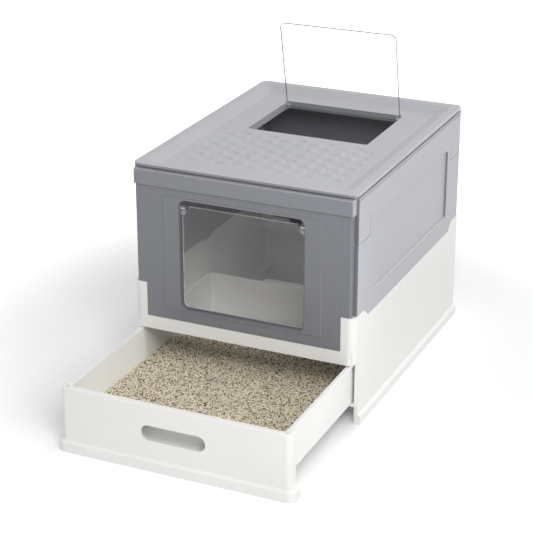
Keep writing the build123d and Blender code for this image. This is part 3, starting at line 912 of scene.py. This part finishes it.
@dataclass
class LitterBed:
    """The loose clay fill of the drawer, as a heaped surface with separate grains on top.

    The heap is a sum of waves, each with its pitch in millimetres and its turn and phase in
    radians. The finger pocket's notch lies within pocket_deep of the front and pocket_half of
    the middle. A grain's ranges are of each corner's reach, of each axis and of its whole size,
    and grain_proud is how far its middle stands over the bed, in grain sizes.
    """

    cell: float = 2.6 * MM
    swell: float = 2.2 * MM
    grit: float = 0.9 * MM
    waves: tuple[tuple[float, float, float], ...] = (
        (170, 0.4, 0.3),
        (95, 1.9, 1.1),
        (61, 2.7, 2.0),
        (38, 0.9, 4.2),
    )
    pocket_deep: float = 40 * MM
    pocket_half: float = 90 * MM
    grain_size: float = 1.7 * MM
    grain_count: int = 6500
    corner_range: tuple[float, float] = (0.7, 1.15)
    axis_range: tuple[float, float] = (0.6, 1.1)
    size_range: tuple[float, float] = (0.55, 1.0)
    grain_proud: float = 0.35
    bare_border: int = 2
    rear_slope: float = 26.0 * MM
    thin_end: float = 1.5 * MM
    seed: int = 11
    finish: BentoniteGrains = BentoniteGrains("crushed_bentonite_clay")

    def surface(
        self, across: np.ndarray, along: np.ndarray, rng: np.random.Generator
    ) -> np.ndarray:
        """Give the heights of the raked surface above its lowest level.

        Args:
            across: Grid of x places in metres.
            along: Grid of y places in metres.
            rng: The source of the grit.

        Returns:
            Heights in metres.
        """
        heap = np.zeros_like(across)
        widest = max(pitch_mm for pitch_mm, _, _ in self.waves)
        for pitch_mm, turn, phase in self.waves:
            wave = 2 * math.pi / (pitch_mm * MM)
            run = across * math.cos(turn) + along * math.sin(turn)
            heap += np.sin(wave * run + phase) * pitch_mm / widest
        heap = (heap - heap.min()) / (heap.max() - heap.min())
        return heap * self.swell + rng.random(across.shape) * self.grit

    def build(self, frame: dict) -> None:
        """Make the bed and its loose grains, and ride them on the drawer.
        """
        low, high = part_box("litter_bed")
        rng = np.random.default_rng(self.seed)
        clay = self.finish.make()
        notch_low, notch_high = self.pocket_notch(frame)
        xs = np.linspace(low.x, high.x, int((high.x - low.x) / self.cell))
        ys = np.linspace(low.y, high.y, int((high.y - low.y) / self.cell))
        across, along = np.meshgrid(xs, ys)
        inside = ~((across > notch_low.x) & (across < notch_high.x) & (along < notch_high.y))
        heights = high.z - self.swell - self.grit + self.surface(across, along, rng)
        fade = np.clip((high.y - along) / self.rear_slope, 0.0, 1.0)
        fade = fade * fade * (3 - 2 * fade)
        heights = low.z + self.thin_end + (heights - low.z - self.thin_end) * fade
        bed = self.slab(across, along, heights, inside, low.z)
        bed.data.materials.append(clay)
        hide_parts("litter_bed")
        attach(bed, "drawer")
        LOG.info("built %s with %d corners", bed.name, len(bed.data.vertices))
        grains = self.grains(across, along, heights, inside, rng)
        grains.data.materials.append(clay)
        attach(grains, "drawer")
        LOG.info("built %s with %d corners", grains.name, len(grains.data.vertices))

    def pocket_notch(self, frame: dict) -> tuple[Vector, Vector]:
        """Find the notch that the bed leaves for the drawer's finger pocket.


        Returns:
            The notch's lowest and highest corners.
        """
        low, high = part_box("litter_bed")
        corners = [v.co for v in frame["nodes"]["litter_bed"].data.vertices]
        central = [c for c in corners if abs(c.x) < self.pocket_half]
        rear = max(c.y for c in central if c.y < low.y + self.pocket_deep)
        side = max(abs(c.x) for c in central)
        return Vector((-side, low.y, low.z)), Vector((side, rear, high.z))

    def slab(
        self,
        across: np.ndarray,
        along: np.ndarray,
        heights: np.ndarray,
        inside: np.ndarray,
        floor: float,
    ) -> bpy.types.Object:
        """Make a closed slab under a height grid.

        Args:
            across: Grid of x places.
            along: Grid of y places.
            heights: Grid of top heights.
            inside: Which grid points belong to the bed.
            floor: The level of the underside.

        Returns:
            The slab as an object.
        """
        rows, columns = across.shape
        top = np.column_stack([across.ravel(), along.ravel(), heights.ravel()])
        bottom = np.column_stack([across.ravel(), along.ravel(), np.full(across.size, floor)])
        count = rows * columns
        keep = inside[:-1, :-1] & inside[1:, :-1] & inside[:-1, 1:] & inside[1:, 1:]
        faces: list[tuple[int, ...]] = []
        rims: dict[tuple[int, int], None] = {}
        for r, c in zip(*np.nonzero(keep)):
            a = int(r * columns + c)
            ring = (a, a + 1, a + columns + 1, a + columns)
            faces.append(ring)
            faces.append(tuple(i + count for i in reversed(ring)))
            for start, end in zip(ring, ring[1:] + ring[:1]):
                if (end, start) in rims:
                    del rims[(end, start)]
                else:
                    rims[(start, end)] = None
        faces += [(end, start, start + count, end + count) for start, end in rims]
        points = np.vstack([top, bottom])
        used = sorted({i for f in faces for i in f})
        number = {old: new for new, old in enumerate(used)}
        faces = [tuple(number[i] for i in f) for f in faces]
        return mesh_object("clay_litter_bed", points[used], faces)

    def grains(
        self,
        across: np.ndarray,
        along: np.ndarray,
        heights: np.ndarray,
        inside: np.ndarray,
        rng: np.random.Generator,
    ) -> bpy.types.Object:
        """Scatter loose grains over the bed as one mesh.

        Args:
            across: Grid of x places.
            along: Grid of y places.
            heights: Grid of top heights.
            inside: Which grid points belong to the bed.
            rng: The source of the scatter.

        Returns:
            The grains as an object.
        """
        seedling = np.array(GRAIN_POINTS, float)
        seedling /= np.linalg.norm(seedling[0])
        corners = len(seedling)
        inner = np.zeros_like(inside)
        middle_rows = slice(self.bare_border, -self.bare_border)
        inner[middle_rows, middle_rows] = inside[middle_rows, middle_rows]
        spots = rng.permutation(np.flatnonzero(inner))[: self.grain_count]
        points: list[np.ndarray] = []
        faces: list[tuple[int, ...]] = []
        for spot in spots:
            reach = rng.uniform(*self.corner_range, (corners, 1))
            shape = seedling * reach * rng.uniform(*self.axis_range, 3)
            turn = rng.uniform(0, 2 * math.pi)
            cos, sin = math.cos(turn), math.sin(turn)
            spin = np.array([[cos, -sin, 0], [sin, cos, 0], [0, 0, 1]])
            size = self.grain_size * rng.uniform(*self.size_range)
            level = heights.flat[spot] + self.grain_proud * size
            start = corners * len(points)
            middle = np.array([across.flat[spot], along.flat[spot], level])
            points.append(shape @ spin.T * size + middle)
            faces += [(a + start, b + start, c + start) for a, b, c in GRAIN_SIDES]
        return mesh_object("clay_litter_grains", np.vstack(points), faces)


@dataclass
class DrawerAssembly:
    """The white drawer with its fascia, and the litter in it."""

    shell: MouldedPolypropylene = MouldedPolypropylene(
        "white_moulded_polypropylene_drawer", "#f4f4f2", "#ecece9"
    )
    litter: LitterBed = field(default_factory=LitterBed)

    def build(self, frame: dict) -> None:
        """Dress the drawer and fill it.
        """
        white = self.shell.make()
        dress(frame, "drawer_tray", white)
        dress(frame, "drawer_front", white)
        self.litter.build(frame)


@dataclass(frozen=True)
class Lamp:
    """A round softbox, with its place and size in metres and its power in watts."""

    name: str
    place: tuple[float, float, float]
    size: float
    power: float
    aim: tuple[float, float, float] = (0.0, -0.1, 0.2)
    spread_deg: float = 180.0

    def hang(self) -> None:
        """Add the softbox to the scene, turned towards its aim."""
        light = bpy.data.lights.new(self.name, "AREA")
        light.shape = "DISK"
        light.size = self.size
        light.energy = self.power
        light.spread = math.radians(self.spread_deg)
        holder = bpy.data.objects.new(self.name, light)
        holder.location = self.place
        beam = Vector(self.aim) - Vector(self.place)
        holder.rotation_euler = beam.to_track_quat("-Z", "Y").to_euler()
        bpy.context.scene.collection.objects.link(holder)
        LOG.info("lit by %s", self.name)


@dataclass
class Studio:
    """The white floor, the soft lights and the camera of the photograph."""

    floor_half: float = 9.0
    sensor_mm: float = 36.0
    lens_mm: float = 112.25
    camera_place: tuple[float, float, float] = (1.0454, -2.4688, 1.2728)
    camera_turn_deg: tuple[float, float, float] = (67.34, 0.0, 24.37)
    paper: PaperSweep = PaperSweep("matt_background_paper")
    room_light: float = 0.50
    lamps: tuple[Lamp, ...] = (
        Lamp(
            "drawer_softbox",
            place=(1.0, -1.6, 1.6),
            size=0.9,
            power=19.5,
            aim=(0.0, -0.4, 0.05),
        ),
        Lamp("right_softbox", place=(2.6, -1.0, 1.9), size=1.8, power=5.0),
        Lamp("rear_key_softbox", place=(0.5, 3.1, 1.05), size=1.1, power=26.0),
        Lamp("hatch_softbox", place=(0.5, 0.55, 2.3), size=0.5, power=6.5),
        Lamp(
            "drawer_wall_softbox",
            place=(1.5, -0.42, 0.75),
            size=0.3,
            power=0.07,
            aim=(-0.18, -0.36, 0.08),
            spread_deg=16.0,
        ),
    )

    def build(self) -> None:
        """Make the floor, the lights and the camera."""
        h = self.floor_half
        corners = np.array([(-h, -h, 0), (h, -h, 0), (h, h, 0), (-h, h, 0)])
        floor = mesh_object("paper_floor", corners, [(0, 1, 2, 3)])
        floor.data.materials.append(self.paper.make())
        for lamp in self.lamps:
            lamp.hang()
        self.room()
        lens = bpy.data.cameras.new("photo_camera")
        lens.sensor_width = self.sensor_mm
        lens.lens = self.lens_mm
        camera = bpy.data.objects.new("photo_camera", lens)
        camera.location = self.camera_place
        camera.rotation_euler = tuple(math.radians(a) for a in self.camera_turn_deg)
        bpy.context.scene.collection.objects.link(camera)
        bpy.context.scene.camera = camera
        bpy.context.scene.view_settings.view_transform = "Standard"

    def room(self) -> None:
        """Fill the room with even light, white where the camera sees past the floor."""
        world = bpy.data.worlds.new("white_room")
        bpy.context.scene.world = world
        world.use_nodes = True
        tree = world.node_tree
        tree.nodes.clear()
        level = add_node(
            tree,
            "ShaderNodeMapRange",
            values={"To Min": self.room_light, "To Max": 1.0},
            links={"Value": background_ray(tree)},
        )
        sky = add_node(
            tree,
            "ShaderNodeBackground",
            values={"Color": srgb(WHITE)},
            links={"Strength": level.outputs["Result"]},
        )
        add_node(tree, "ShaderNodeOutputWorld", links={"Surface": sky.outputs["Background"]})


def main() -> None:
    """Load the frame, dress every piece and set up the studio."""
    logging.basicConfig(level=logging.INFO, format="%(name)s: %(message)s")
    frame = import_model()
    BaseAssembly().build(frame)
    FoldingWalls().build(frame)
    LidAssembly().build(frame)
    clip = ClearMouldedClip("clear_moulded_polycarbonate").make()
    wire = DrawnSteelWire("drawn_steel_flap_pins").make()
    for flap in (
        # Painted highlight: the front flap's pale edge line. Painted shade: the top flap's dark
        # grey edge line.
        ClearFlap("front_flap", lean_deg=0.0, edge="#c4c8ca", bevel_cover=0.3),
        ClearFlap("top_flap", lean_deg=12.0, edge="#50575c", bevel_cover=0.7),
    ):
        flap.build(frame, clip, wire)
    DrawerAssembly().build(frame)
    Studio().build()


if __name__ == "__main__":
    main()
